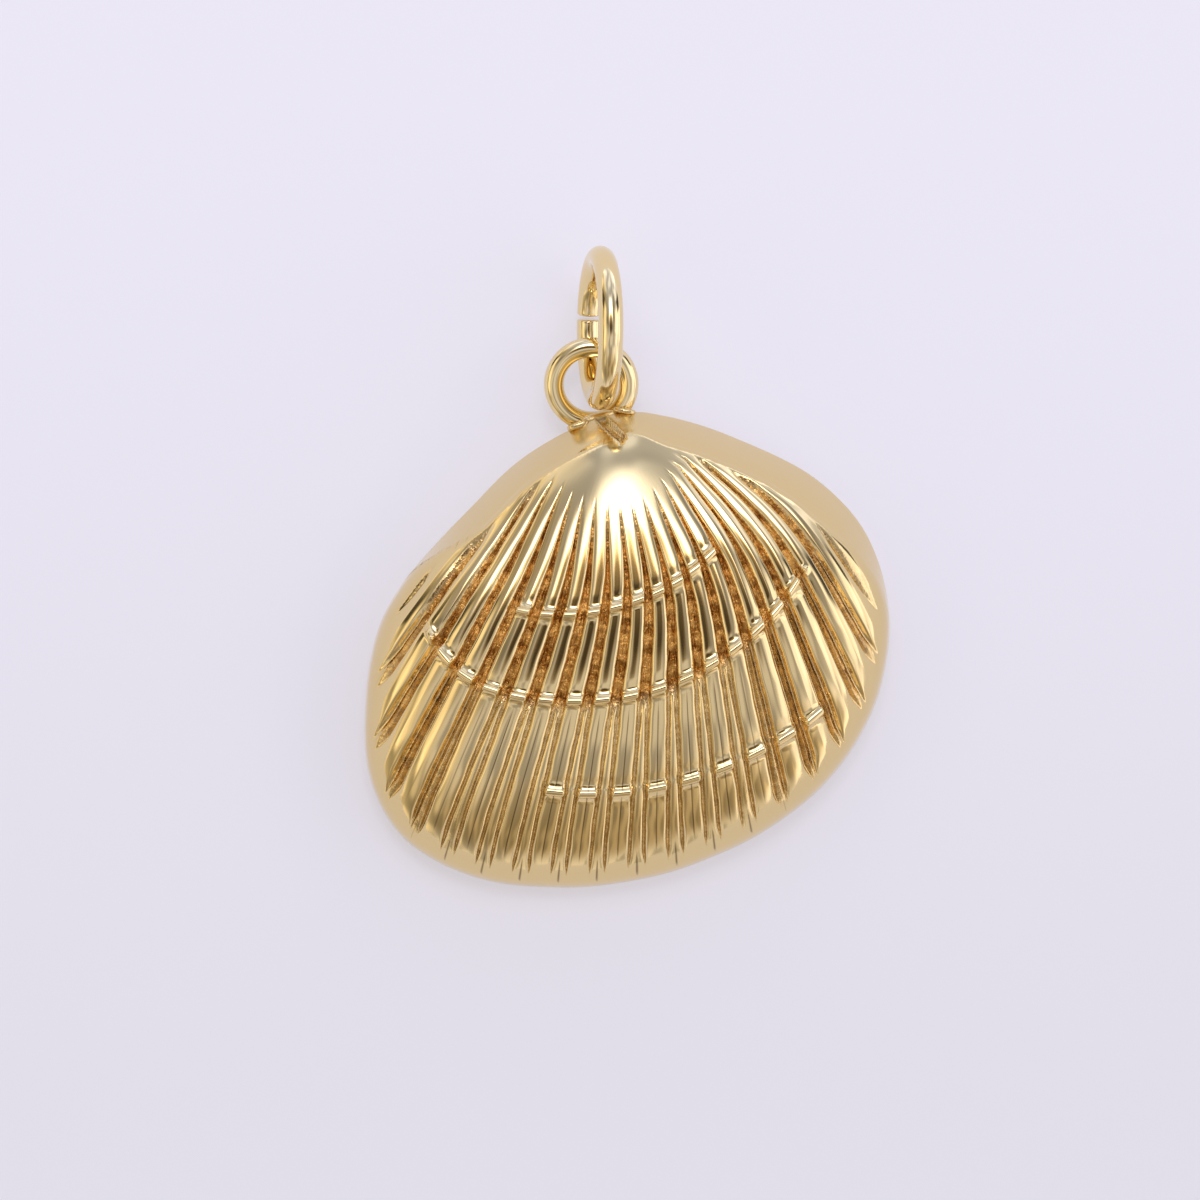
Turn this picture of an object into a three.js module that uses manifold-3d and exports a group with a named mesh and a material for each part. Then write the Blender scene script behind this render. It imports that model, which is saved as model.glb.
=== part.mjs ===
// Cockle-shell charm: a gilt casting with a loop at its beak, and an open jump ring linked through the loop.
// Millimetres, +Z up. The charm lies on its open back on z = 0, dome up, with its beak towards +Y.
// The origin is the middle of the whole object's footprint.
// Fan angles are in degrees from straight down the shell (-Y), and grow towards +X.

import * as THREE from 'three';
import * as BufferGeometryUtils from 'three/addons/utils/BufferGeometryUtils.js';
import Module from 'manifold-3d';

const wasm = await Module();
wasm.setup();

// ---------------------------------------------------------------- driving dimensions

// The casting seen from above, clockwise from the beak: a smooth closed curve through these points.
const OUTLINE = [
  [0.5, 5.68], [2.6, 5.24], [4.6, 4.48], [6.7, 3.4], [8.35, 1.85], [9.25, 0.1], [9.62, -2.3], [9.1, -5.0],
  [7.8, -7.3], [5.9, -9.1], [3.2, -10.6], [0.2, -11.5], [-2.9, -11.74], [-5.8, -11.3], [-8.2, -9.95],
  [-9.4, -7.9], [-9.64, -5.2], [-9.2, -2.4], [-8.2, -0.5], [-6.0, 1.95], [-4.0, 3.9], [-2.1, 5.05], [-1.0, 5.5],
];

const SUMMIT = { x: -0.46, y: -2.3 };  // highest point of the dome
const PEAK = 4.6;                      // dome height above the flat rim
const EDGE = 0.45;                     // upright edge all round the casting
const BEAK_EDGE = 1.75;                // the same edge where the loop joins
const BEAK_FOOT = 1.8;                 // height the dome's profile starts from at the beak; EDGE elsewhere
const INSET = 0.13;                    // how far the crease stands inside the outline, as a share of the radius
const CREASE_DIP = 0.12;               // how far the shoulders start below the dome, at the crease
const SHOULDER_BULGE = 0.3;            // how rounded the shoulders are: 0 is a straight slope
const FULLNESS = { ends: 2.0, sides: 2.5 };  // exponents of the dome's profile along Y and along X
const WALL = 1.1;                      // thickness of the casting

const FAN = { x: -0.35, y: 5.24 };     // where the rib lines fan out from, just inside the beak
const FAN_REACH = 11.0;                // distance from FAN at which a rib line's name is its angle
const FAN_START = 2.76;                // the lines' curl grows no further inside this distance
const FAN_CURL = 0.59;                 // how strongly the rib lines bend outwards towards the beak
const BEAK_REACH = 2.0;                // inside this distance the lines run straight to the beak's edge
const BEAK_ARC = 70;                   // half the arc of the beak's edge that the lines share, degrees
const SIDE_REACH = { left: 8.6, right: 8.8 };  // the outline's sides are themselves rib lines up to here
const SIDE_PULL = 20;                  // rib names beyond this are drawn towards the sides of the outline

const GROOVES = 21;                    // grooves between the ribs
const MIDDLE_GROOVE = 9;
const MIDDLE_ANGLE = -0.9;
const PITCH = { left: 5.4, right: 5.75 };    // degrees between grooves on each side of the middle one
const GROOVE_HALF = 1.3;               // half a groove's width, degrees
const GROOVE_DEPTH = 0.28;
const GROOVE_RISE = [2.9, 5.0];        // distances from FAN over which a groove reaches its full depth
const RIGHT_SOONER = 0.7;              // the grooves of the right side start this much nearer FAN
const RIM_BAND = [0.3, 1.0];           // distances inside the outline over which a groove reaches its full depth
const CREASE_BAND = [0.05, 0.45];      // the same inside the crease, at the beak end

const BEAD_HEIGHT = 0.12;              // growth lines: raised beads across the rib tops
const BEAD_HALF = 0.17;

// The loop leans up towards +Y by its tilt, in degrees, so that its low side is buried in the beak.
const LOOP = { x: -1.33, y: 6.71, z: 1.36, radius: 1.37, wire: 0.73, tilt: 10 };
const ROOT = { x: -1.03, y: 5.42, z: 0.85, width: 1.9, depth: 0.6, height: 1.5, turn: 14 };

const RING = { x: -1.01, y: 8.73, radius: 2.55, wire: 0.9, lean: 9, slit: 0.18, slitAngle: 10.4 };
const RING_LIFT = 0.02;                // air under the ring, so that it doesn't merge with the table

// Steps along each rib line: shares of the way to each growth line, and from the last one to the rim.
const CROWN_STEPS = [0, 0.07, 0.14, 0.22, 0.32, 0.43, 0.56, 0.7, 0.85];
const BETWEEN_STEPS = [0.25, 0.5, 0.75];
const RIM_STEPS = [0.3, 0.56, 0.76, 0.9, 0.97, 1];

// ---------------------------------------------------------------- small helpers

const radians = THREE.MathUtils.degToRad;
const smooth = THREE.MathUtils.smoothstep;
const clamp = THREE.MathUtils.clamp;
const bump = (value, centre, width) => Math.exp(-(((value - centre) / width) ** 2));

// Root of a rising function between low and high.
function bisect(rising, low, high) {
  for (let i = 0; i < 40; i += 1) {
    const middle = (low + high) / 2;
    if (rising(middle) < 0) low = middle;
    else high = middle;
  }
  return (low + high) / 2;
}

// ---------------------------------------------------------------- dome

const outlineCurve = new THREE.CatmullRomCurve3(OUTLINE.map(([x, y]) => new THREE.Vector3(x, y, 0)), true);
const outlinePoints = outlineCurve.getPoints(240).slice(0, -1);

// Straight-line table through [key, value] pairs.
function table(pairs) {
  const sorted = [...pairs].sort((a, b) => a[0] - b[0]);
  return (key) => {
    let low = 0;
    let high = sorted.length - 1;
    while (high - low > 1) {
      const middle = (low + high) >> 1;
      if (sorted[middle][0] <= key) low = middle;
      else high = middle;
    }
    const [[a, from], [b, to]] = [sorted[low], sorted[high]];
    return from + ((to - from) * (key - a)) / (b - a);
  };
}

// The outline's radius by direction (radians from +X) seen from the summit.
const outlineRadius = table(outlinePoints.flatMap(({ x, y }) => {
  const direction = Math.atan2(y - SUMMIT.y, x - SUMMIT.x);
  const radius = Math.hypot(x - SUMMIT.x, y - SUMMIT.y);
  return [-2, 0, 2].map((turn) => [direction + turn * Math.PI, radius]);
}));

// The outline seen from FAN: distance, and angle from straight down.
const outlineFromFan = outlinePoints.map(({ x, y }) => ({
  distance: Math.hypot(x - FAN.x, y - FAN.y),
  angle: THREE.MathUtils.radToDeg(Math.atan2(x - FAN.x, FAN.y - y)),
}));
const beakDistance = table(outlineFromFan.map(({ distance, angle }) => [(angle + 360) % 360, distance]));
const onRight = ({ distance, angle }) => angle > 5 && angle < 150 && distance > 0.6;
const onLeft = ({ distance, angle }) => angle < -25 && angle > -150 && distance > 0.6;
const pairOf = ({ distance, angle }) => [distance, angle];
const rightAngle = table(outlineFromFan.filter(onRight).map(pairOf));
const leftAngle = table(outlineFromFan.filter(onLeft).map(pairOf));

// 1 across the beak end, where the shoulders are, and 0 round the rest of the shell.
function beakEnd(degrees) {
  const turned = degrees < -90 ? degrees + 360 : degrees;
  return smooth(turned, 0, 32) * (1 - smooth(turned, 140, 168));
}

// Everything the dome's profile needs in one direction from the summit.
function section(direction) {
  const degrees = THREE.MathUtils.radToDeg(direction);
  const beak = beakEnd(degrees);
  const outer = outlineRadius(direction);
  return {
    outer,
    crease: outer * (1 - INSET * beak * (1 - 0.3 * bump(degrees, 85, 7))),
    edge: EDGE + (BEAK_EDGE - EDGE) * bump(degrees, 92, 16),
    foot: EDGE + (BEAK_FOOT - EDGE) * bump(degrees, 92, 35),
    dip: CREASE_DIP * beak,
    power: FULLNESS.ends + (FULLNESS.sides - FULLNESS.ends) * Math.cos(direction) ** 2,
  };
}

const directionOf = (x, y) => Math.atan2(y - SUMMIT.y, x - SUMMIT.x);
const reachOf = (x, y) => Math.hypot(x - SUMMIT.x, y - SUMMIT.y);

// Height of the smooth dome and its shoulders, before any groove is cut.
function domeHeight(x, y) {
  const { outer, crease, edge, foot, dip, power } = section(directionOf(x, y));
  const dome = (reach) => foot + (PEAK - foot) * (1 - Math.min(reach / outer, 1) ** power) ** (1 / power);
  const reach = reachOf(x, y);
  if (reach < crease) return dome(reach);
  const out = clamp((reach - crease) / Math.max(outer - crease, 1e-6), 0, 1);
  return edge + (dome(crease) - dip - edge) * (1 - out) * (1 + SHOULDER_BULGE * out);
}

// ---------------------------------------------------------------- rib lines

// Angle, at a distance from FAN, of the rib line named by its angle at FAN_REACH, before the sides draw on it.
function freeAngle(name, distance) {
  const curl = 1 + FAN_CURL * (Math.sqrt(FAN_REACH / Math.max(distance, FAN_START)) - 1);
  const sway = 4.4 * clamp(1 + name / 50, 0, 1) * bump(distance, 5.5, 3.3);
  const trail = 1.9 * smooth(distance, 8.5, 16.5);
  return name * curl + sway - trail;
}

// The names of the two rib lines that run along the sides of the outline.
const LEFT_NAME = bisect((name) => freeAngle(name, SIDE_REACH.left) - leftAngle(SIDE_REACH.left), -80, 0);
const RIGHT_NAME = bisect((name) => freeAngle(name, SIDE_REACH.right) - rightAngle(SIDE_REACH.right), 0, 80);

function fanAngle(name, distance) {
  const free = freeAngle(name, distance);
  const right = name > 0;
  const [last, reach, side] = right
    ? [RIGHT_NAME, SIDE_REACH.right, rightAngle] : [LEFT_NAME, SIDE_REACH.left, leftAngle];
  if (distance >= reach || Math.abs(name) < SIDE_PULL) return free;
  const share = (Math.abs(name) - SIDE_PULL) / (Math.abs(last) - SIDE_PULL);
  return free + share * share * (side(distance) - freeAngle(last, distance));
}

function fanPoint(name, distance) {
  const angle = radians(fanAngle(name, distance));
  return { x: FAN.x + distance * Math.sin(angle), y: FAN.y - distance * Math.cos(angle) };
}

// Where a rib line starts, on the edge of the beak. The starts run over the top from left to right.
function beakPoint(name) {
  const share = (name - LEFT_NAME) / (RIGHT_NAME - LEFT_NAME);
  const angle = 180 + BEAK_ARC * (1 - 2 * share);
  const distance = beakDistance(angle);
  return { x: FAN.x + distance * Math.sin(radians(angle)), y: FAN.y - distance * Math.cos(radians(angle)) };
}

// A point of a rib line, at a distance counted from FAN; from BEAK_REACH to 0 it runs to the beak's edge.
function linePoint(name, distance) {
  if (distance >= BEAK_REACH) return fanPoint(name, distance);
  const start = beakPoint(name);
  const end = fanPoint(name, BEAK_REACH);
  const share = distance / BEAK_REACH;
  return { x: start.x + (end.x - start.x) * share, y: start.y + (end.y - start.y) * share };
}

function makeLine(name) {
  const beyond = (distance) => {
    const { x, y } = fanPoint(name, distance);
    return reachOf(x, y) - section(directionOf(x, y)).outer;
  };
  return { name, length: bisect(beyond, Math.min(SIDE_REACH.left, SIDE_REACH.right) - 0.3, 20) };
}

// The three growth lines, as distances from FAN at an angle.
const growthLines = [
  { from: -31, to: 39, distance: (a) => 6.69 - 0.031 * a + 0.0002 * a * a },
  { from: -43, to: 52.5, distance: (a) => 10.0 - 0.0276 * a - 0.0035 * Math.max(0, -a - 26) ** 2 },
  { from: -12.5, to: 37, distance: (a) => 13.45 - 0.0184 * a },
];
const LINE_LIMITS = [0.45, 0.72, 0.88];  // furthest each may come, as a share of a rib line's length

function growthDistances(line) {
  return growthLines.map((growth, index) => {
    const limit = LINE_LIMITS[index] * line.length;
    return Math.min(growth.distance(fanAngle(line.name, growth.distance(line.name))), limit);
  });
}

// Distances of the mesh's rows along a rib line; a row runs along each growth line and each side of its bead.
function rowDistances(line) {
  const [first, second, third] = growthDistances(line);
  const half = Math.min(BEAD_HALF, 0.03 * line.length);
  const between = (from, to, steps) => steps.map((step) => from + (to - from) * step);
  return [
    ...between(0, first - half, CROWN_STEPS), first - half, first, first + half,
    ...between(first + half, second - half, BETWEEN_STEPS), second - half, second, second + half,
    ...between(second + half, third - half, BETWEEN_STEPS), third - half, third,
    ...between(third, line.length, [half / (line.length - third) * 0.999, ...RIM_STEPS]),
  ];
}

const grooveName = (index) => {
  const steps = index - MIDDLE_GROOVE;
  return MIDDLE_ANGLE + steps * (steps < 0 ? PITCH.left : PITCH.right);
};

// Share of the full relief at a point of a rib line: none on the crown of the beak, the shoulders and the rim.
function relief(x, y, name, distance) {
  const direction = directionOf(x, y);
  const inside = section(direction).crease - reachOf(x, y);
  const beak = beakEnd(THREE.MathUtils.radToDeg(direction));
  const near = THREE.MathUtils.lerp(RIM_BAND[0], CREASE_BAND[0], beak);
  const far = THREE.MathUtils.lerp(RIM_BAND[1], CREASE_BAND[1], beak);
  const sooner = RIGHT_SOONER * smooth(name, 5, 40);
  return smooth(distance + sooner, ...GROOVE_RISE) * smooth(inside, near, far);
}

// Share of a groove's depth on a rib line: 1 along the bottom of a groove and 0 on the ribs.
function grooveShare(name) {
  let share = 0;
  for (let index = 0; index < GROOVES; index += 1) {
    share = Math.max(share, 1 - Math.abs(name - grooveName(index)) / GROOVE_HALF);
  }
  return share;
}

function beadHeight(line, distance) {
  const angle = fanAngle(line.name, distance);
  const ridges = growthDistances(line).map((ridge, index) => {
    const { from, to } = growthLines[index];
    const inside = angle > from && angle < to;
    return inside ? BEAD_HEIGHT * Math.max(0, 1 - Math.abs(distance - ridge) / BEAD_HALF) : 0;
  });
  return Math.max(...ridges);
}

// The finished outer surface: grooves sink and beads rise square to the smooth dome.
function surfacePoint(line, distance) {
  const { x, y } = linePoint(line.name, distance);
  const z = domeHeight(x, y);
  const groove = grooveShare(line.name);
  const height = groove > 0.01 ? -GROOVE_DEPTH * groove : beadHeight(line, distance);
  const raise = height * relief(x, y, line.name, distance);
  if (raise === 0) return [x, y, z];
  const step = 0.02;
  const slopeX = (domeHeight(x + step, y) - domeHeight(x - step, y)) / (2 * step);
  const slopeY = (domeHeight(x, y + step) - domeHeight(x, y - step)) / (2 * step);
  const normal = new THREE.Vector3(-slopeX, -slopeY, 1).normalize();
  return [x + normal.x * raise, y + normal.y * raise, z + normal.z * raise];
}

// Rib lines that carry mesh columns: both lips and the bottom of every groove, and plain ones at the sides.
function columnNames() {
  const names = [];
  for (let index = 0; index < GROOVES; index += 1) {
    const middle = grooveName(index);
    names.push(middle - GROOVE_HALF, middle, middle + GROOVE_HALF);
  }
  const left = (LEFT_NAME + names[0]) / 2;
  const right = (RIGHT_NAME + names[names.length - 1]) / 2;
  return [LEFT_NAME, left, ...names, right, RIGHT_NAME];
}

// ---------------------------------------------------------------- solids

function geometryOf(positions, indices) {
  const geometry = new THREE.BufferGeometry();
  geometry.setAttribute('position', new THREE.Float32BufferAttribute(positions, 3));
  geometry.setIndex(indices);
  return geometry;
}

// Flat underside of a solid: triangles facing down across a closed loop of points, numbered by ids.
function underside(loopPoints, ids) {
  const contour = loopPoints.map(([x, y]) => new THREE.Vector2(x, y));
  const clockwise = THREE.ShapeUtils.isClockWise(contour);
  const ordered = clockwise ? [...contour].reverse() : contour;
  const numbers = clockwise ? [...ids].reverse() : ids;
  return THREE.ShapeUtils.triangulateShape(ordered, []).flatMap(([a, b, c]) => [numbers[c], numbers[b], numbers[a]]);
}

function castingBody() {
  const lines = columnNames().map(makeLine);
  const grid = lines.map((line) => rowDistances(line).map((distance) => surfacePoint(line, distance)));
  const [columns, rows] = [grid.length, grid[0].length];
  const at = (column, row) => column * rows + row;
  const positions = grid.flat(2);
  const indices = [];
  for (let column = 0; column + 1 < columns; column += 1) {
    for (let row = 0; row + 1 < rows; row += 1) {
      const [a, b] = [at(column, row), at(column + 1, row)];
      const [c, d] = [at(column, row + 1), at(column + 1, row + 1)];
      indices.push(a, c, b, b, c, d);
    }
  }
  // The rim of the grid: down the left side, along the far margin, up the right side and over the beak.
  const rim = [];
  for (let row = 0; row < rows; row += 1) rim.push([0, row]);
  for (let column = 1; column < columns; column += 1) rim.push([column, rows - 1]);
  for (let row = rows - 2; row >= 0; row -= 1) rim.push([columns - 1, row]);
  for (let column = columns - 2; column > 0; column -= 1) rim.push([column, 0]);
  const first = columns * rows;
  const feet = rim.map(([column, row]) => [grid[column][row][0], grid[column][row][1], 0]);
  positions.push(...feet.flat());
  rim.forEach(([column, row], index) => {
    const next = (index + 1) % rim.length;
    const [top, topNext] = [at(column, row), at(...rim[next])];
    indices.push(top, first + index, first + next, top, first + next, topNext);
  });
  indices.push(...underside(feet, feet.map((_, index) => first + index)));
  return geometryOf(positions, indices);
}

// Closed dome from a top point and rings of equal length below it; the last ring lies flat.
function domeSolid(top, rings) {
  const count = rings[0].length;
  const positions = [...top, ...rings.flat(2)];
  const at = (ring, column) => 1 + ring * count + (column % count);
  const indices = [];
  for (let column = 0; column < count; column += 1) {
    indices.push(0, at(0, column), at(0, column + 1));
    for (let ring = 0; ring + 1 < rings.length; ring += 1) {
      const [a, b] = [at(ring, column), at(ring, column + 1)];
      const [c, d] = [at(ring + 1, column), at(ring + 1, column + 1)];
      indices.push(a, c, b, b, c, d);
    }
  }
  const last = rings[rings.length - 1];
  indices.push(...underside(last, last.map((_, column) => at(rings.length - 1, column))));
  return geometryOf(positions, indices);
}

// The hollow back: a smaller dome with the same lines, reaching a little below the rim.
function hollow() {
  const columns = 48;
  const reaches = [0.22, 0.44, 0.64, 0.8, 0.91, 0.98, 1];
  const ring = (share, below) => Array.from({ length: columns }, (_, column) => {
    const direction = -Math.PI + ((column + 0.5) * 2 * Math.PI) / columns;
    const { crease, power } = section(direction);
    const reach = share * (crease - WALL);
    const z = (PEAK - WALL) * (1 - share ** power) ** (1 / power);
    return [SUMMIT.x + reach * Math.cos(direction), SUMMIT.y + reach * Math.sin(direction), z - below];
  });
  return domeSolid([SUMMIT.x, SUMMIT.y, PEAK - WALL], [...reaches.map((share) => ring(share, 0)), ring(1, 0.5)]);
}

function loop() {
  const geometry = new THREE.TorusGeometry(LOOP.radius, LOOP.wire / 2, 12, 32);
  return geometry.rotateX(radians(LOOP.tilt)).translate(LOOP.x, LOOP.y, LOOP.z);
}

function loopRoot() {
  const geometry = new THREE.BoxGeometry(ROOT.width, ROOT.depth, ROOT.height);
  return geometry.rotateZ(radians(ROOT.turn)).translate(ROOT.x, ROOT.y, ROOT.z);
}

function toManifold(geometry) {
  geometry.deleteAttribute('normal');
  geometry.deleteAttribute('uv');
  const merged = BufferGeometryUtils.mergeVertices(geometry, 1e-4);
  return new wasm.Manifold(new wasm.Mesh({
    numProp: 3,
    vertProperties: new Float32Array(merged.attributes.position.array),
    triVerts: new Uint32Array(merged.index.array),
  }));
}

function fromManifold(solid) {
  const { vertProperties, triVerts } = solid.getMesh();
  return geometryOf(vertProperties, Array.from(triVerts));
}

function shellCharm() {
  const body = toManifold(castingBody()).add(toManifold(loop())).add(toManifold(loopRoot()));
  return fromManifold(body.subtract(toManifold(hollow())));
}

// A round wire bent into a ring in its own YZ plane, open at the slit. Angles run from its lowest point to +Y.
class RingCurve extends THREE.Curve {
  getPoint(share) {
    const gap = RING.slit / RING.radius;
    const angle = radians(RING.slitAngle) + gap / 2 + share * (2 * Math.PI - gap);
    return new THREE.Vector3(0, RING.radius * Math.sin(angle), -RING.radius * Math.cos(angle));
  }
}

function jumpRing() {
  const wire = new THREE.Shape().absarc(0, 0, RING.wire / 2, 0, 2 * Math.PI);
  return new THREE.ExtrudeGeometry(wire, { curveSegments: 7, steps: 40, extrudePath: new RingCurve() });
}

// ---------------------------------------------------------------- the object

const gold = () => new THREE.MeshStandardMaterial({ color: 0xe6b866, metalness: 1, roughness: 0.15 });

const charmMesh = new THREE.Mesh(shellCharm(), gold());
charmMesh.name = 'shell_charm';

const ringMesh = new THREE.Mesh(jumpRing(), gold());
ringMesh.name = 'jump_ring';
ringMesh.rotation.y = radians(RING.lean);
const ringRise = RING.radius * Math.cos(radians(RING.lean)) + RING.wire / 2 + RING_LIFT;
ringMesh.position.set(RING.x, RING.y, ringRise);

const charm = new THREE.Group();
charm.add(charmMesh, ringMesh);

export default charm;
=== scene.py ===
"""Cockle-shell charm: the looks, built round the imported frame. Shapes are worked out in millimetres."""

import math
from types import SimpleNamespace

import bpy
import numpy as np
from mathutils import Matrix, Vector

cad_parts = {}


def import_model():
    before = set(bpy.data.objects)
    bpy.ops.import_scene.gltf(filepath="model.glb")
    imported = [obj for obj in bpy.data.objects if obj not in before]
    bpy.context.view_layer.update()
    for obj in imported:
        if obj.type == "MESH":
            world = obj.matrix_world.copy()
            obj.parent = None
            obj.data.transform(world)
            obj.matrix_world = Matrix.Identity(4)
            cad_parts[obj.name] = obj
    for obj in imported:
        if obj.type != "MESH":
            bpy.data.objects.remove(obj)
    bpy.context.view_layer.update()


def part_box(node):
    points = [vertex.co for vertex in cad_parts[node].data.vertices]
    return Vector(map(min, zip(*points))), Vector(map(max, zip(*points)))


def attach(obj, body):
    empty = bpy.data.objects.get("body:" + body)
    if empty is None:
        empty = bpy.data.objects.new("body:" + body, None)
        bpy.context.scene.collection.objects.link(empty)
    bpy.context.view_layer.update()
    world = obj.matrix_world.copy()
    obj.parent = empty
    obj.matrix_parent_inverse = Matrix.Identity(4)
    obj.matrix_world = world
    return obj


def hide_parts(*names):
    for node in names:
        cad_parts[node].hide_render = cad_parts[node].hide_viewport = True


MM = 0.001

# ---------------------------------------------------------------- the casting's dimensions, as in the frame

OUTLINE = np.array([
    (0.5, 5.68), (2.6, 5.24), (4.6, 4.48), (6.7, 3.4), (8.35, 1.85), (9.25, 0.1), (9.62, -2.3), (9.1, -5.0),
    (7.8, -7.3), (5.9, -9.1), (3.2, -10.6), (0.2, -11.5), (-2.9, -11.74), (-5.8, -11.3), (-8.2, -9.95),
    (-9.4, -7.9), (-9.64, -5.2), (-9.2, -2.4), (-8.2, -0.5), (-6.0, 1.95), (-4.0, 3.9), (-2.1, 5.05),
    (-1.0, 5.5),
])
OUTLINE_STEPS = 12        # steps of the curve between two points of OUTLINE
SUMMIT = (-0.46, -2.3)
PEAK = 4.6                # height of the dome at SUMMIT
EDGE = 0.45               # height of the surface at the outline
BEAK_EDGE = 1.75          # and the same at the tip of the beak
BEAK_FOOT = 1.8           # height at which the dome's own profile would meet the outline there
BEAK_TIP = 92             # direction of that tip from SUMMIT, in degrees from +X
EDGE_SPREAD = 16          # degrees to each side over which the edge rises to BEAK_EDGE
FOOT_SPREAD = 35          # and the foot to BEAK_FOOT
SHOULDER_START = (0, 32)  # directions over which the shoulders start, on the right
SHOULDER_END = (140, 168)  # and end, on the left
INSET = 0.13              # width of the shoulders, as a share of the outline's radius
PINCH = 0.3               # how much narrower they are beside the loop
PINCH_PLACE = (85, 7)     # the direction of that, and its spread
SHOULDER_SWELL = 0.3      # how far a shoulder swells above a straight slope
CREASE_DIP = 0.12         # how far a shoulder starts below the dome
CREASE_SOFT = 0.09        # half the width over which the dome gives way to the shoulder
FULL_ENDS = 2.0           # power of the dome's profile along Y
FULL_SIDES = 2.5          # and along X
WALL = 1.1                # width of the flat rim, and the metal's thickness

# The rim's rounded edge: how far inside the outline, and how high. The edge of the hollow's mouth: how far
# outside the mouth, how high, and how rough-cast. The hollow's rings of points: shares of the mouth's radius.
RIM_EDGE = ((0, 0.08), (0.02, 0.03), (0.08, 0.0))
MOUTH_EDGE = ((0.06, 0.0, 0.3), (0, 0.05, 1))
HOLLOW_SHARES = (0.985, 0.93, 0.83, 0.63, 0.32, 0.03)

# ---------------------------------------------------------------- rib lines

FAN = (-0.35, 5.24)       # the point from which the rib lines spread
FAN_REACH = 11.0          # distance from FAN at which a line's name is its angle from straight down
FAN_START = 2.76          # nearer than this the lines curl no more
FAN_CURL = 0.59           # how much wider they spread near FAN
SWAY = 4.4                # degrees by which the lines bow to the right, less so on the left
SWAY_FADE = 50
SWAY_PLACE = (5.5, 3.3)   # the distance of that, and its spread
TRAIL = 1.9               # degrees by which their far ends turn back
TRAIL_BAND = (8.5, 16.5)
BEAK_REACH = 2.0          # nearer than this they run straight to the beak's edge
BEAK_ARC = 70             # half the arc of the beak's edge that they reach, in degrees
LEFT_REACH = 8.6          # distances from FAN up to which the outermost lines follow the outline
RIGHT_REACH = 8.8
LEFT_SIDE = (-150, -25)   # angles from FAN between which the outline's sides are
RIGHT_SIDE = (5, 150)
SIDE_NEAREST = 0.6        # the beak's own points, nearer FAN than this, are left out of them
SIDE_PULL = 20            # from this name on, the lines are drawn towards the outline
NAME_LIMIT = 80.0         # no line's name is past this on either side
LENGTH_LIMITS = (LEFT_REACH - 0.3, 20.0)  # distances between which every line meets the outline

GROOVES = 21
MIDDLE_GROOVE = 9
MIDDLE_ANGLE = -0.9
LEFT_PITCH = 5.4
RIGHT_PITCH = 5.75

# Each growth line's distance from FAN by its angle, a first guess at it, its limit as a share of the rib
# line's length, and the angles between which it has beads.
GROWTH_LINES = (
    lambda angle: 6.69 - 0.031 * angle + 0.0002 * angle ** 2,
    lambda angle: 10.0 - 0.0276 * angle - 0.0035 * np.maximum(0, -angle - 26) ** 2,
    lambda angle: 13.45 - 0.0184 * angle,
)
LINE_GUESSES = (6.5, 10.0, 13.4)
LINE_LIMITS = (0.45, 0.72, 0.88)
LINE_ENDS = ((-31, 39), (-43, 52.5), (-12.5, 37))

# Nominal places across half a groove and half a rib, as shares of the pitch, where the mesh's columns stand
RIBLET_EDGE = 0.09
BOTTOM = 0.17
LIP = 0.25
LAST_PLACE = 0.35         # beyond this place the ribs next to the two sides meet the outline
COLUMN_PLACES = (
    0, 0.02, 0.06, RIBLET_EDGE, 0.12, 0.145, BOTTOM, 0.195, 0.225, LIP, 0.275, 0.31, 0.47, 0.5,
)
SIDE_COLUMNS = 5          # plain columns along each side

ROW_COUNTS = (56, 12, 18, 12, 18, 12, 22)  # rows to, over and between the growth lines, and on to the rim
BEAK_CROWDING = 1.45      # powers that crowd the rows towards the beak and the rim
RIM_CROWDING = 1.7

# ---------------------------------------------------------------- relief

GROOVE_DEPTH = 0.26
GROOVE_RISE = (2.9, 5.0)  # distances from FAN over which a groove reaches its full depth
RIGHT_SOONER = 0.7        # the grooves of the right side start this much nearer FAN
SOONER_NAMES = (5, 40)    # names over which they come to do so
RIM_BAND = (0.3, 1.0)     # distances inside the outline over which a groove reaches its full depth
CREASE_BAND = (0.05, 0.45)  # and the same inside the crease
SIDES = (20, 34)          # rib names over which the middle's relief gives way to the sides'

WANDERS = ((0.04, 2.1, 1), (0.03, 5.3, 2))  # how a groove's width wavers: share, rate and phases
START_WIDTH = 0.45        # a groove's width where it starts, as a share of its full width
START_BAND = (4.4, 7.2)
END_WIDTHS = (0.84, 0.2)  # and where it ends, in the middle and at the sides
SIDE_NARROWING = 0.15     # how much narrower the grooves are at the sides
RIBLET_HALF = (0.02, 0.09, 0.13)  # half the riblet's width at the last two growth lines and at the rim
WIDEST_RIBLET = 0.9       # as a share of its groove's
SIDE_RIBLET_LOSS = 0.8    # and the riblets
SPLIT_BAND = (-0.1, 0.7)  # distances past the second growth line over which a groove splits into two Vs
KEPT_SHARES = (0.7, 0.9)  # shares of the outline's radius over which the columns come to keep theirs

WALL_FOOT = 0.45          # where the upper groove's wall meets its floor, as a share of LIP
VEE_FLAT = 1.3            # above 1, the Vs have flat bottoms
VEE_FLOOR = 0.4           # how rough-cast the lower grooves' floors are, as a share of the upper ones'
SIDE_FLOOR = 0.68         # and the same at the sides
VEE_DEPTH = 0.62          # depth of the lower grooves, as a share of the upper ones'
RIBLET_DROP = 0.15        # how far the riblet stands below the ribs, as a share of the groove's depth
RIBLET_ROUND = 0.1        # and how much further its edges do
SIDE_DROP = 0.45          # and how much further all of it does at the sides

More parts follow.
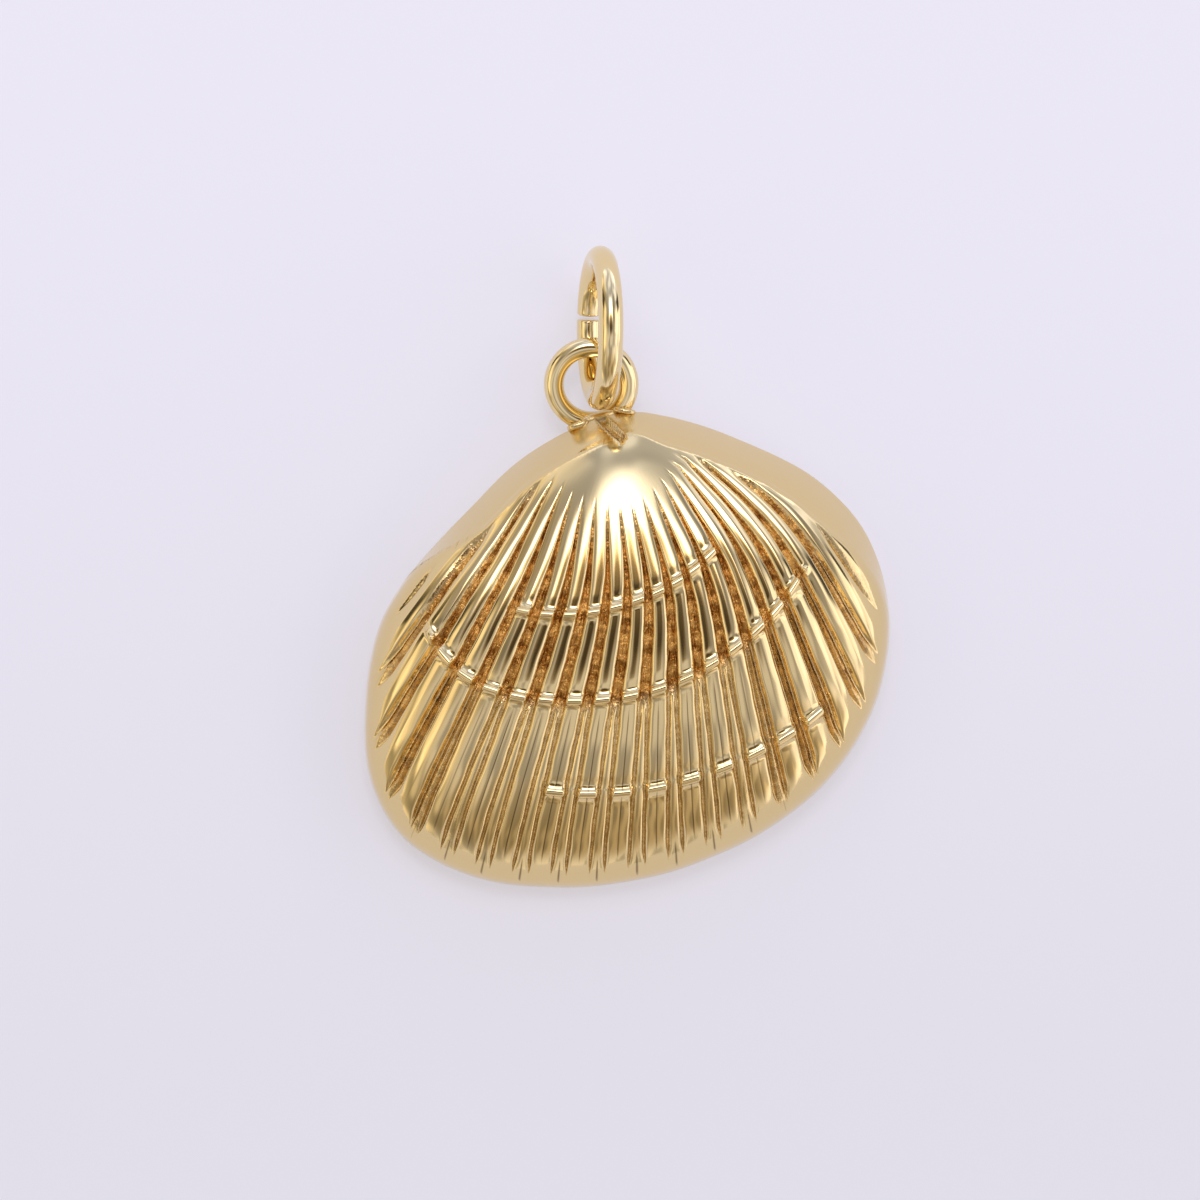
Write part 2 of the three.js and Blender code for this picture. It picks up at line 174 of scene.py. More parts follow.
RIB_CROWN = (0.004, 0.06)  # how far a rib's middle stands above its lips, in the middle and at the sides
LIP_ROUND = 0.035         # rounding of a rib's lips
LIP_BAND = (0.8, 1.1)     # shares of the way from a rib's middle to its lip over which that comes
SIDE_LIP_LOSS = 0.7       # how much less it is at the sides
SEAM_DEPTH = 0.006        # fine seams down the middles of the ribs and of the riblets' ends
RIB_SEAM_PLACES = (0.47, 0.5)
RIB_SEAM_START = (0.3, 1.0)  # distances past the second growth line over which a rib's seam starts
RIB_SEAM_END = (0.9, 1.3)    # and distances from the outline over which it ends
RIBLET_SEAM_PLACES = (0.004, 0.02)
RIBLET_SEAM = ((0.2, 0.3), (0.8, 1.1))  # distances from the outline between which a riblet's seam runs
CAST_GRAIN = 0.03         # height of the lumps on the groove floors
GRAIN_SEED = 11
GRAIN_SPREAD = 0.7        # share of each neighbour's noise that a point takes
GRAIN_RANGE = 2.4         # the noise is cut off beyond this
WAVER = 0.004             # the unevenness of the polished surface
WAVES = ((1.9, 0.7, 0), (-2.3, 1.3, 1), (0.8, 2.9, 2))  # its three waves: rates along X and Y, and phase

BEAD_HEIGHT = 0.14
BEAD_HALF = 0.16
BEAD_SIDES = (0.14, LIP)  # places over which a bead rises from the groove
BEAD_WANDER = 0.025       # how far the beads stray from their growth line
BEAD_SHELF = 0.03         # how far the ribs sink just above each bead
SHELF_PLACE = -1.7        # the middle of that, in halves of a bead
PHASE_STEP = 2.4          # keeps neighbouring ribs and grooves from wavering together
BEAD_PHASE = 3.1

NOTCH_START = (-1.05, 5.55)
NOTCH_END = (-0.14, 4.66)
NOTCH_HALF = 0.19
NOTCH_DEPTH = 0.24
NOTCH_WALL = 0.6          # where its side walls start, as a share of NOTCH_HALF
NOTCH_STOP = 0.12         # length of its end wall
NOTCH_RIDGE = 0.35        # height of the three ridges at its lower end, as a share of its depth
RIDGE_BAND = (0.5, 0.25)  # distances from that end over which they rise

SLOPE_STEP = 0.02         # step over which the dome's slope is measured

# ---------------------------------------------------------------- loop and ring

LOOP = (-1.33, 6.71, 1.36)
LOOP_RADIUS = 1.37
LOOP_WIRE = 0.73
LOOP_TILT = 10
LOOP_STEPS = (96, 28)

LUMP_SQUARENESS = 0.55    # below 1, a lump's corners are fuller than a ball's
LUMP_CAST = 0.1           # and how rough-cast it is
LUMP_STEPS = (24, 40)

RING_RADIUS = 2.55
RING_WIRE = 0.9
RING_LEAN = 9
RING_SLIT = 0.18
RING_SLIT_ANGLE = 10.4
RING_STEPS = (180, 32)
CUT_ROUND = 0.045         # rounding of the ring's cut ends
CUT_SHOULDER = (0.4, 0.014)  # a step between: its place, as a share of CUT_ROUND, and its loss of radius

# ---------------------------------------------------------------- colours and gloss

SHELL_TONE = (0.80, 0.62, 0.31, 1)
WIRE_TONE = (0.86, 0.69, 0.37, 1)
CAST_DARK = (0.30, 0.12, 0.02, 1)
CAST_PALE = (0.74, 0.41, 0.11, 1)
# Painted shade: the near-black brown painted along the fine seams, where their shallow grooves would lie in
# shade.
SEAM_SHADE_TONE = (0.10, 0.05, 0.015, 1)
SEAM_SHADE_SHARE = 0.85         # how far the painted shade along a seam takes the colour towards that dark tone
SHELL_POLISH = 0.06       # roughness of the polished metal
WIRE_POLISH = 0.035
CAST_POLISH = (0.3, 0.5)  # and of the rough-cast floors
ROOT_POLISH = 0.26        # and about the loop's root
ROOT_PLACE = (-0.0008, 0.0052, 0.002)  # that root, in metres
ROOT_BAND = (0.0009, 0.0022)
CAST_BUMP = 0.00009       # height of the cast grain's bump, in metres

# Noises: scale, detail and roughness
GRAIN_NOISE = (5200.0, 2.0, 0.6)
PATCH_NOISE = (2200.0, 2.0, 0.55)
HAZE_NOISE = (260.0, 1.0, 0.5)
ROOM_NOISE = (3.4, 0.0, 0.4)

# Painted shade and painted light: the floor is painted darker towards the near edge, where the light falls
# off, and glows with these same colours to soften the shadows.
FLOOR_NEAR_SHADED_GLOW = (0.405, 0.398, 0.434, 1)
FLOOR_FAR_GLOW = (0.448, 0.439, 0.486, 1)
FLOOR_SHADE_BAND = (-0.024, 0.022)  # Y, in metres, over which the painted shade of the near edge gives way to the far colour
FLOOR_SIZE = 1.2          # in metres
FLOOR_DROP = 0.02         # keeps the rim's flat face clear of the floor, in millimetres

# ---------------------------------------------------------------- studio, by the x, y and z of a direction

WALL_LIGHT = 0.64
HORIZON_LIGHT = 0.34      # added near the horizon
HORIZON_BAND = (0.0, 0.3)
RIGHT_LIGHT = 0.4         # added towards +X
RIGHT_BAND = (0.25, 0.7)
FAR_LIGHT = 0.3           # added beyond the softbox
FAR_BAND = (0.5, 0.9)
NEAR_LIGHT = -0.2         # taken off on the near side
NEAR_BAND = (-0.85, -0.55)
ROOM_RANGE = (0.68, 1.25)  # how much the walls vary
GAP_DARKNESS = 0.9        # of the gap between each end of the softbox and the side wall
GAP_AHEAD = ((0.25, 0.34), (0.5, 0.62))
GAP_Z = ((0.02, 0.08), (0.4, 0.5))
PANEL_LIGHT = 0.8         # added by the pale panel on each side
PANEL_X = (0.55, 0.75)
PANEL_Y = (0.3, 0.5)
PANEL_Z = ((0.3, 0.45), (0.62, 0.78))

BOX_TILT = 68             # degrees of the softbox's middle above the horizon
BOX_LIGHT = 6.6
BOX_HALF = (0.44, 0.52)   # half its width and height, on a plane at distance 1
BOX_FADE = 1.6            # power by which it fades towards its edges
BESIDE_DARKNESS = 0.42    # of the walls beside it
BESIDE_ACROSS = ((0.1, 0.42), (0.6, 1.1))
BESIDE_UP = (0.4, 0.8)
BOX_NEAREST = 0.05        # directions less far ahead than this miss the softbox

LENS_HALF = (0.22, 0.275)  # half the width and length of the lens's dark reflection
LENS_Y = 0.085            # its middle, a little towards the beak
LENS_BAND = (0.3, 1.6)
LENS_LIGHT = 0.085        # what is left of the light there
BELOW = 9.0               # keeps the reflection out of the lower half

PLAIN_TINT = (0.98, 0.96, 1.06, 1)
NEAR_TINT = (1.0, 0.83, 0.62, 1)
FAR_TINT = (0.88, 0.95, 1.28, 1)
LEFT_TINT = (1.0, 0.88, 0.68, 1)
LENS_TINT = (1.0, 0.78, 0.52, 1)

FRAME_WIDTH = 44.1        # what the camera sees across, in millimetres
CAMERA_PLACE = (-1.01, -1.19, 350.0)
SENSOR_WIDTH = 36

TINY = 1e-6               # keeps a width of nothing from dividing


# ---------------------------------------------------------------- small helpers

def smooth(value, low, high):
    """A soft step from 0 at low to 1 at high."""
    share = np.clip((value - low) / (high - low), 0, 1)
    return share * share * (3 - 2 * share)


def bump(value, centre, width):
    """A soft hump of height 1."""
    return np.exp(-(((value - centre) / width) ** 2))


def blend(share, first, second):
    return first + (second - first) * share


def turned(first, second, degrees):
    """Two coordinates turned about the third axis."""
    turn = math.radians(degrees)
    return first * math.cos(turn) - second * math.sin(turn), first * math.sin(turn) + second * math.cos(turn)


def full_turn(count):
    return np.linspace(0, 2 * math.pi, count, endpoint=False)


def bisect(rising, low, high):
    """Roots of a rising function of arrays between low and high."""
    for _ in range(40):
        middle = (low + high) / 2
        below = rising(middle) < 0
        low = np.where(below, middle, low)
        high = np.where(below, high, middle)
    return (low + high) / 2


def tangents(before, start, end, after):
    """Centripetal Catmull-Rom tangents at the start and the end of the span between two points."""
    gaps = [math.dist(a, b) ** 0.5 for a, b in ((before, start), (start, end), (end, after))]
    along = (end - start) / gaps[1]
    leave = (start - before) / gaps[0] - (end - before) / (gaps[0] + gaps[1]) + along
    arrive = along - (after - start) / (gaps[1] + gaps[2]) + (after - end) / gaps[2]
    return leave * gaps[1], arrive * gaps[1]


def closed_curve(points, steps):
    """Smooth curve through a closed loop of points."""
    count = len(points)
    share = np.linspace(0, 1, steps, endpoint=False)[:, None]
    spans = []
    for index in range(count):
        before, start, end, after = (points[(index + step) % count] for step in (-1, 0, 1, 2))
        leave, arrive = tangents(before, start, end, after)
        cubic = 2 * start - 2 * end + leave + arrive
        square = -3 * start + 3 * end - 2 * leave - arrive
        spans.append(start + leave * share + square * share ** 2 + cubic * share ** 3)
    return np.concatenate(spans)


# ---------------------------------------------------------------- dome

OUTLINE_POINTS = closed_curve(OUTLINE, OUTLINE_STEPS)


def polar(x, y, centre):
    return np.arctan2(y - centre[1], x - centre[0]), np.hypot(x - centre[0], y - centre[1])


def ring_table(angles, radii, period):
    """Lookup of radius by angle round a full turn."""
    order = np.argsort(angles)
    return lambda angle: np.interp(angle, angles[order], radii[order], period=period)


outline_radius = ring_table(*polar(*OUTLINE_POINTS.T, SUMMIT), 2 * math.pi)


def beak_end(degrees):
    """1 across the beak end, where the shoulders are, and 0 round the rest of the shell."""
    turn = np.where(degrees < -90, degrees + 360, degrees)
    return smooth(turn, *SHOULDER_START) * (1 - smooth(turn, *SHOULDER_END))


def section(direction):
    """What the dome's profile needs in a direction from the summit."""
    degrees = np.degrees(direction)
    beak = beak_end(degrees)
    outer = outline_radius(direction)
    return {
        "outer": outer,
        "crease": outer * (1 - INSET * beak * (1 - PINCH * bump(degrees, *PINCH_PLACE))),
        "edge": blend(bump(degrees, BEAK_TIP, EDGE_SPREAD), EDGE, BEAK_EDGE),
        "foot": blend(bump(degrees, BEAK_TIP, FOOT_SPREAD), EDGE, BEAK_FOOT),
        "dip": CREASE_DIP * beak,
        "power": blend(np.cos(direction) ** 2, FULL_ENDS, FULL_SIDES),
    }


def oval(share, power):
    """Height of a superellipse of radius 1 at a share of its radius."""
    return (1 - share ** power) ** (1 / power)


def dome_height(x, y):
    """Height of the smooth dome, and of the shoulders that fall away outside its crease."""
    direction, reach = polar(x, y, SUMMIT)
    cut = section(direction)

    def dome(radius):
        share = np.clip(radius / cut["outer"], 0, 1)
        return cut["foot"] + (PEAK - cut["foot"]) * oval(share, cut["power"])

    out = np.clip((reach - cut["crease"]) / np.maximum(cut["outer"] - cut["crease"], TINY), 0, 1)
    top = dome(cut["crease"]) - cut["dip"]
    shoulder = cut["edge"] + (top - cut["edge"]) * (1 - out) * (1 + SHOULDER_SWELL * out)
    past = smooth(reach - cut["crease"], -CREASE_SOFT, CREASE_SOFT)
    return blend(past, dome(reach), shoulder)


# ---------------------------------------------------------------- rib lines

def from_fan():
    """The outline seen from FAN: angle from straight down in degrees, and distance."""
    dx, dy = (OUTLINE_POINTS - FAN).T
    return np.degrees(np.arctan2(dx, -dy)), np.hypot(dx, dy)


FAN_ANGLES, FAN_DISTANCES = from_fan()
beak_distance = ring_table(FAN_ANGLES, FAN_DISTANCES, 360)


def side_table(low, high):
    """Lookup of the outline's angle by distance, along one side."""
    side = (FAN_ANGLES > low) & (FAN_ANGLES < high) & (FAN_DISTANCES > SIDE_NEAREST)
    order = np.argsort(FAN_DISTANCES[side])
    return lambda distance: np.interp(distance, FAN_DISTANCES[side][order], FAN_ANGLES[side][order])


right_angle = side_table(*RIGHT_SIDE)
left_angle = side_table(*LEFT_SIDE)


def free_angle(name, distance):
    """Angle, at a distance from FAN, of the rib line named by its angle at FAN_REACH."""
    curl = 1 + FAN_CURL * (np.sqrt(FAN_REACH / np.maximum(distance, FAN_START)) - 1)
    sway = SWAY * np.clip(1 + name / SWAY_FADE, 0, 1) * bump(distance, *SWAY_PLACE)
    return name * curl + sway - TRAIL * smooth(distance, *TRAIL_BAND)


def name_at(angle, distance, low, high):
    """Name of the rib line that is at this angle at this distance from FAN."""
    return float(bisect(lambda name: free_angle(name, distance) - angle, low, high))


LEFT_NAME = name_at(left_angle(LEFT_REACH), LEFT_REACH, -NAME_LIMIT, 0.0)
RIGHT_NAME = name_at(right_angle(RIGHT_REACH), RIGHT_REACH, 0.0, NAME_LIMIT)


def fan_angle(name, distance):
    """free_angle, with the outer lines drawn onto the sides of the outline."""
    free = free_angle(name, distance)
    right_pull = np.where(distance < RIGHT_REACH, right_angle(distance) - free_angle(RIGHT_NAME, distance), 0)
    left_pull = np.where(distance < LEFT_REACH, left_angle(distance) - free_angle(LEFT_NAME, distance), 0)
    right_share = np.clip((name - SIDE_PULL) / (RIGHT_NAME - SIDE_PULL), 0, None)
    left_share = np.clip((name + SIDE_PULL) / (LEFT_NAME + SIDE_PULL), 0, None)
    return free + right_share ** 2 * right_pull + left_share ** 2 * left_pull


def fan_place(angle, distance):
    """The point at an angle from straight down, in degrees, and a distance from FAN."""
    turn = np.radians(angle)
    return FAN[0] + distance * np.sin(turn), FAN[1] - distance * np.cos(turn)


def fan_point(name, distance):
    return fan_place(fan_angle(name, distance), distance)


def line_point(name, distance):
    """Points of rib lines; inside BEAK_REACH they run straight to the beak's edge."""
    share = (name - LEFT_NAME) / (RIGHT_NAME - LEFT_NAME)
    start_angle = 180 + BEAK_ARC * (1 - 2 * share)
    starts = fan_place(start_angle, beak_distance(start_angle))
    ends = fan_point(name, np.full_like(name, BEAK_REACH))
    farther = fan_point(name, np.maximum(distance, BEAK_REACH))
    along = distance / BEAK_REACH
    near = distance < BEAK_REACH
    return [np.where(near, blend(along, start, end), far) for start, end, far in zip(starts, ends, farther)]


def line_lengths(names):
    """Distance from FAN at which each rib line reaches the outline."""
    def beyond(distance):
        direction, reach = polar(*fan_point(names, distance), SUMMIT)
        return reach - outline_radius(direction)
    return bisect(beyond, *(np.full_like(names, limit) for limit in LENGTH_LIMITS))


def growth_distances(names, lengths):
    """Distances of the three growth lines along each rib line."""
    distances = []
    for formula, guess, limit in zip(GROWTH_LINES, LINE_GUESSES, LINE_LIMITS):
        free = np.full_like(names, guess)
        for _ in range(2):
            free = formula(fan_angle(names, free))
        distances.append(np.minimum(free, limit * lengths))
    return np.stack(distances, axis=1)


def groove_names():
    steps = np.arange(GROOVES) - MIDDLE_GROOVE
    return MIDDLE_ANGLE + steps * np.where(steps < 0, LEFT_PITCH, RIGHT_PITCH)


GROOVE_NAMES = groove_names()


# ---------------------------------------------------------------- the casting's grid

def line_names():
    """Names of the mesh's columns: the same places about every groove, and a few plain ones at the sides."""
    places = np.array(COLUMN_PLACES)
    pitch_places = np.concatenate([places, 1 - places[-2:0:-1]])
    middle = [a + (b - a) * pitch_places for a, b in zip(GROOVE_NAMES, GROOVE_NAMES[1:])]
    inside = places[places < LAST_PLACE]
    left_half = GROOVE_NAMES[0] - LEFT_PITCH * inside[:0:-1]
    right_half = GROOVE_NAMES[-1] + RIGHT_PITCH * inside
    left = np.linspace(LEFT_NAME, left_half[0], SIDE_COLUMNS, endpoint=False)
    right = np.linspace(right_half[-1], RIGHT_NAME, SIDE_COLUMNS + 1)[1:]
    return np.concatenate([left, left_half, *middle, right_half, right])


def row_shares():
    """Where the rows stand in each stretch of a rib line, as shares of the stretch."""
    shares = [np.linspace(0, 1, count, endpoint=False) for count in ROW_COUNTS]
    shares[0] = shares[0] ** BEAK_CROWDING
    shares[-1] = 1 - (1 - np.linspace(0, 1, ROW_COUNTS[-1] + 1)) ** RIM_CROWDING
    return shares


def row_distances(lengths, growth):
    """Distances of the mesh's rows along each rib line, close together over the growth lines and the rim."""
    stops = [np.zeros_like(lengths)]
    for line in growth.T:
        stops += [line - BEAD_HALF, line + BEAD_HALF]
    stops.append(lengths)
    rows = [blend(share, start[:, None], end[:, None])
            for start, end, share in zip(stops, stops[1:], row_shares())]
    return np.concatenate(rows, axis=1)


def groove_place(names):
    """The nearest groove's number, the pitch there, and the signed distance from its middle as its share."""
    aside = names[:, None] - GROOVE_NAMES[None, :]
    number = np.abs(aside).argmin(axis=1)
    aside = aside[np.arange(len(names)), number]
    pitch = np.where(names < MIDDLE_ANGLE, LEFT_PITCH, RIGHT_PITCH)
    return number[:, None], pitch[:, None], (aside / pitch)[:, None]


def rib_grid():
    """The mesh's columns and rows, before the grooves are squeezed to their widths."""
    names = line_names()
    lengths = line_lengths(names)
    growth = growth_distances(names, lengths)
    distance = row_distances(lengths, growth)
    number, pitch, aside = groove_place(names)
    return SimpleNamespace(
        names=names[:, None] + np.zeros_like(distance),
        distance=distance,
        lengths=lengths[:, None],
        growth=[line[:, None] for line in growth.T],
        number=number,
        pitch=pitch,
        aside=aside,
        place=np.abs(aside),
        side=smooth(np.abs(names), *SIDES)[:, None],
    )


def squeeze(place, riblet, half):
    """Where a nominal place stands when the groove's half-width and its riblet's are these."""
    stops = (0, RIBLET_EDGE, BOTTOM, LIP, 0.5)
    values = (0, riblet, (riblet + half) / 2, half, 0.5)
    result = np.maximum(place - 0.5, 0)
    for start, end, low, high in zip(stops, stops[1:], values, values[1:]):
        result = result + np.clip((place - start) / (end - start), 0, 1) * (high - low)
    return result


def keep_share(x, y, straight_x, straight_y):
    """Near the rim, puts points as far out, as a share of the outline's radius, as their unsqueezed ones."""
    direction, reach = polar(x, y, SUMMIT)
    straight_direction, straight_reach = polar(straight_x, straight_y, SUMMIT)
    share = straight_reach / outline_radius(straight_direction)
    reach = blend(smooth(share, *KEPT_SHARES), reach, share * outline_radius(direction))
    return SUMMIT[0] + reach * np.cos(direction), SUMMIT[1] + reach * np.sin(direction)


# ---------------------------------------------------------------- the casting's relief

def cast_grain(shape):
    """Seeded lumpy noise over the mesh's grid, from -1 to 1."""
    noise = np.random.default_rng(GRAIN_SEED).uniform(-1, 1, shape)
    for axis in (0, 1):
        noise = noise + GRAIN_SPREAD * (np.roll(noise, 1, axis) + np.roll(noise, -1, axis))
    return np.clip(noise / GRAIN_RANGE, -1, 1)


def waver(x, y):
    """The slight unevenness of a hand-polished surface."""
    return WAVER * sum(np.sin(along_x * x + along_y * y + phase) for along_x, along_y, phase in WAVES)


def notch(x, y):
    """Depth of the short slanting recess beside the loop, with three small ridges at its lower end."""
    start, end = np.array(NOTCH_START), np.array(NOTCH_END)
    length = np.linalg.norm(end - start)
    along = (end - start) / length
    reach = (x - start[0]) * along[0] + (y - start[1]) * along[1]
    aside = (x - start[0]) * along[1] - (y - start[1]) * along[0]
    within = 1 - smooth(np.abs(aside), NOTCH_HALF * NOTCH_WALL, NOTCH_HALF)
    before_end = 1 - smooth(reach, length - NOTCH_STOP, length)
    rising = smooth(reach, length - RIDGE_BAND[0], length - RIDGE_BAND[1])
    ridges = NOTCH_RIDGE * rising * (1 + np.cos(aside / NOTCH_HALF * 3 * math.pi)) / 2
    return NOTCH_DEPTH * within * before_end * (1 - ridges)


def relief_shares(x, y, grid):
    """Share of the full relief as a groove starts near the beak, and as it ends near the crease or rim."""
    direction, reach = polar(x, y, SUMMIT)
    inside = section(direction)["crease"] - reach
    beak = beak_end(np.degrees(direction))
    near, far = (blend(beak, rim, crease) for rim, crease in zip(RIM_BAND, CREASE_BAND))
    sooner = RIGHT_SOONER * smooth(grid.names, *SOONER_NAMES)
    return smooth(grid.distance + sooner, *GROOVE_RISE), smooth(inside, near, far)


def split_share(grid):
    """0 above the second growth line, where a groove is single, and 1 below, where it is two Vs."""
    return smooth(grid.distance - grid.growth[1], *SPLIT_BAND)


def riblet_width(grid, widest, ending):
    """Half-width of the riblet below the second growth line, as a share of the pitch."""
    _, second, third = grid.growth
    riblet = blend(smooth(grid.distance, second, third), RIBLET_HALF[0], RIBLET_HALF[1])
    riblet = riblet + (RIBLET_HALF[2] - RIBLET_HALF[1]) * smooth(grid.distance, third, grid.lengths)
    riblet = riblet * (1 - SIDE_RIBLET_LOSS * grid.side)
    return np.minimum(blend((1 - ending) * (1 - grid.side), riblet, widest), widest)


def groove_widths(grid, ending):
    """Half-widths of a groove and of the riblet down its middle, as shares of the pitch."""
    phase = grid.number * PHASE_STEP
    wander = 1 + sum(size * np.sin(grid.distance * rate + turns * phase) for size, rate, turns in WANDERS)
    start = blend(smooth(grid.distance, *START_BAND), START_WIDTH, 1)
    end = blend(ending, blend(grid.side, *END_WIDTHS), 1)
    half = LIP * (1 - SIDE_NARROWING * grid.side) * wander * start * end
    plain = half * RIBLET_EDGE / LIP
    return half, blend(split_share(grid), plain, riblet_width(grid, WIDEST_RIBLET * half, ending))


def groove_profile(grid):
    """Depth and floor of the grooves: one rough floor above the second growth line, two plain Vs below it."""
    place, side = grid.place, grid.side
    single = 1 - smooth(place, LIP * WALL_FOOT, LIP)
    arm = np.where(place < BOTTOM, BOTTOM - RIBLET_EDGE, LIP - BOTTOM)
    vee = np.clip(VEE_FLAT * (1 - np.abs(place - BOTTOM) / arm), 0, 1)
    drop = RIBLET_DROP + RIBLET_ROUND * np.clip(place / RIBLET_EDGE, 0, 1) ** 2 + SIDE_DROP * side
    pair = np.where(place < BOTTOM, blend(drop, vee, 1), vee) * blend(side, VEE_DEPTH, 1)
    pair_floor = blend(side, VEE_FLOOR * vee, SIDE_FLOOR * single)
    split = split_share(grid)
    return blend(split, single, pair), blend(split, single, pair_floor)


def rib_fall(grid):
    """How far a rib falls from its middle to its lips."""
    lip = np.clip((0.5 - grid.place) / (0.5 - LIP), 0, 1)
    rounding = LIP_ROUND * (1 - SIDE_LIP_LOSS * grid.side) * smooth(lip, *LIP_BAND)
    return blend(grid.side, *RIB_CROWN) * lip ** 2 + rounding


def bead_share(grid, names):
    """Height of the growth lines' beads, as a share, and the share of the shelf above each."""
    angle = fan_angle(names, grid.distance)
    rib_phase = (grid.number + (grid.aside > 0)) * PHASE_STEP
    bead, shelf = np.zeros_like(angle), np.zeros_like(angle)
    for index, (low, high) in enumerate(LINE_ENDS):
        stray = BEAD_WANDER * np.sin(rib_phase * BEAD_PHASE + index)
        place = grid.distance - grid.growth[index] - stray
        ends = smooth(angle, low, low + 1) * (1 - smooth(angle, high - 1, high))
        across = np.clip(np.abs(place) / BEAD_HALF, 0, 1)
        bead = np.maximum(bead, ends * np.sqrt(1 - across ** 2))
        shelf = np.maximum(shelf, ends * bump(place, SHELF_PLACE * BEAD_HALF, BEAD_HALF))
    return bead * smooth(grid.place, *BEAD_SIDES), shelf


def seam_share(grid):
    """The fine seams, cut shallow and given painted shade: down the middles of the lower ribs, and down the
    last of each riblet.
    """
    left = grid.lengths - grid.distance
    below = smooth(grid.distance - grid.growth[1], *RIB_SEAM_START)
    on_rib = smooth(grid.place, *RIB_SEAM_PLACES) * below * smooth(left, *RIB_SEAM_END)
    end, start = RIBLET_SEAM
    riblet_middle = 1 - smooth(grid.place, *RIBLET_SEAM_PLACES)
    on_riblet = riblet_middle * smooth(left, *end) * (1 - smooth(left, *start))
    return (on_rib + on_riblet) * (1 - grid.side)


def relief_height(grid, names, relief):
    """How far the relief stands above the smooth dome, how rough-cast it is, and how much painted shade its
    seams take.
    """
    groove, floor = groove_profile(grid)
    bead, shelf = bead_share(grid, names)
    seam = seam_share(grid)
    grain = CAST_GRAIN * cast_grain(groove.shape) * floor ** 2 * relief
    base = grain - rib_fall(grid) - BEAD_SHELF * shelf - GROOVE_DEPTH * groove - SEAM_DEPTH * seam
    rough = np.clip(floor * relief * (1 - bead), 0, 1)
    return blend(bead, base, BEAD_HEIGHT) * relief, rough, seam * (1 - bead)


def raised(x, y, height):
    """Points this far above the smooth dome, measured square to it."""
    slope_x = (dome_height(x + SLOPE_STEP, y) - dome_height(x - SLOPE_STEP, y)) / (2 * SLOPE_STEP)
    slope_y = (dome_height(x, y + SLOPE_STEP) - dome_height(x, y - SLOPE_STEP)) / (2 * SLOPE_STEP)
    lift = height / np.sqrt(1 + slope_x ** 2 + slope_y ** 2)
    return np.stack([x - slope_x * lift, y - slope_y * lift, dome_height(x, y) + lift], axis=-1)


def surface():
    """The casting's outer surface as a grid of points, with how rough-cast each point is and how much painted
    seam shade it takes.
    """
    grid = rib_grid()
    straight = line_point(grid.names, grid.distance)
    starting, ending = relief_shares(*straight, grid)
    half, riblet = groove_widths(grid, ending)
    names = GROOVE_NAMES[grid.number] + np.sign(grid.aside) * grid.pitch * squeeze(grid.place, riblet, half)
    x, y = keep_share(*line_point(names, grid.distance), *straight)
    height, rough, seam = relief_height(grid, names, starting * ending)
    return raised(x, y, height + waver(x, y) - notch(x, y)), rough, seam


# ---------------------------------------------------------------- meshes

def new_object(name, vertices, faces, material, **attributes):
    """A smooth-shaded mesh object, with a float attribute on its points for each further name given."""
    mesh = bpy.data.meshes.new(name)
    mesh.from_pydata((np.asarray(vertices) * MM).tolist(), [], [list(map(int, face)) for face in faces])
    for label, values in attributes.items():
        layer = mesh.attributes.new(label, "FLOAT", "POINT")
        layer.data.foreach_set("value", np.asarray(values, dtype=np.float32))
    mesh.polygons.foreach_set("use_smooth", [True] * len(mesh.polygons))
    mesh.update()
    mesh.materials.append(material)
    obj = bpy.data.objects.new(name, mesh)
    bpy.context.scene.collection.objects.link(obj)
    return obj


def grid_faces(columns, rows):
    column, row = np.meshgrid(np.arange(columns - 1), np.arange(rows - 1), indexing="ij")
    corner = column * rows + row
    return np.stack([corner, corner + 1, corner + rows + 1, corner + rows], axis=-1).reshape(-1, 4)


def loop_indices(sections, across):
    """Indices of the points of a tube, one closed loop for each of its sections."""
    return np.arange(sections * across).reshape(sections, across)


def tube_faces(loops):
    """Quads between each closed loop of point indices and the next."""
    bands = [np.stack([first, second, np.roll(second, -1), np.roll(first, -1)], axis=-1)
             for first, second in zip(loops, loops[1:])]
    return np.concatenate(bands)


def rim_loop(columns, rows):
    """Indices of the grid's rim: down the left side, along the far margin, up the right and over the beak."""
    loop = list(range(rows))
    loop += [column * rows + rows - 1 for column in range(1, columns)]
    loop += [(columns - 1) * rows + row for row in range(rows - 2, -1, -1)]
    loop += [column * rows for column in range(columns - 2, 0, -1)]
    return np.array(loop)


def hollow_rings(rim):
    """Rings of points from the grid's rim, over the flat rim and up to the hollow's top, with roughness."""
    direction, outer = polar(rim[:, 0], rim[:, 1], SUMMIT)
    cut = section(direction)
    mouth = cut["crease"] - WALL

    def ring(radius, height):
        x = SUMMIT[0] + radius * np.cos(direction)
        y = SUMMIT[1] + radius * np.sin(direction)
        return np.stack([x, y, height + 0 * radius], axis=-1)

    rings = [(ring(outer - inside, height), 0.0) for inside, height in RIM_EDGE]
    rings += [(ring(mouth + outside, height), rough) for outside, height, rough in MOUTH_EDGE]
    for share in HOLLOW_SHARES:
        rings.append((ring(mouth * share, (PEAK - WALL) * oval(share, cut["power"])), 1.0))
    return rings


def charm_casting(material):
    """The shell: its outer surface, flat rim and hollow back as one closed mesh."""
    points, rough, seam = surface()
    columns, rows = points.shape[:2]
    points = points.reshape(-1, 3)
    rim = rim_loop(columns, rows)
    rings = hollow_rings(points[rim])
    loops = [rim, *(len(points) + loop_indices(len(rings), len(rim)))]
    faces = [*grid_faces(columns, rows), *tube_faces(loops), loops[-1]]
    vertices = np.concatenate([points, *(ring for ring, _ in rings)])
    cast = np.concatenate([rough.reshape(-1), *(np.full(len(rim), value) for _, value in rings)])
    # Painted shade along the seams, carried to the material on the points of the outer surface.
    seams = np.zeros(len(vertices))
    seams[:seam.size] = seam.reshape(-1)
    return new_object("charm_casting", vertices, faces, material, cast=cast, seam=seams)


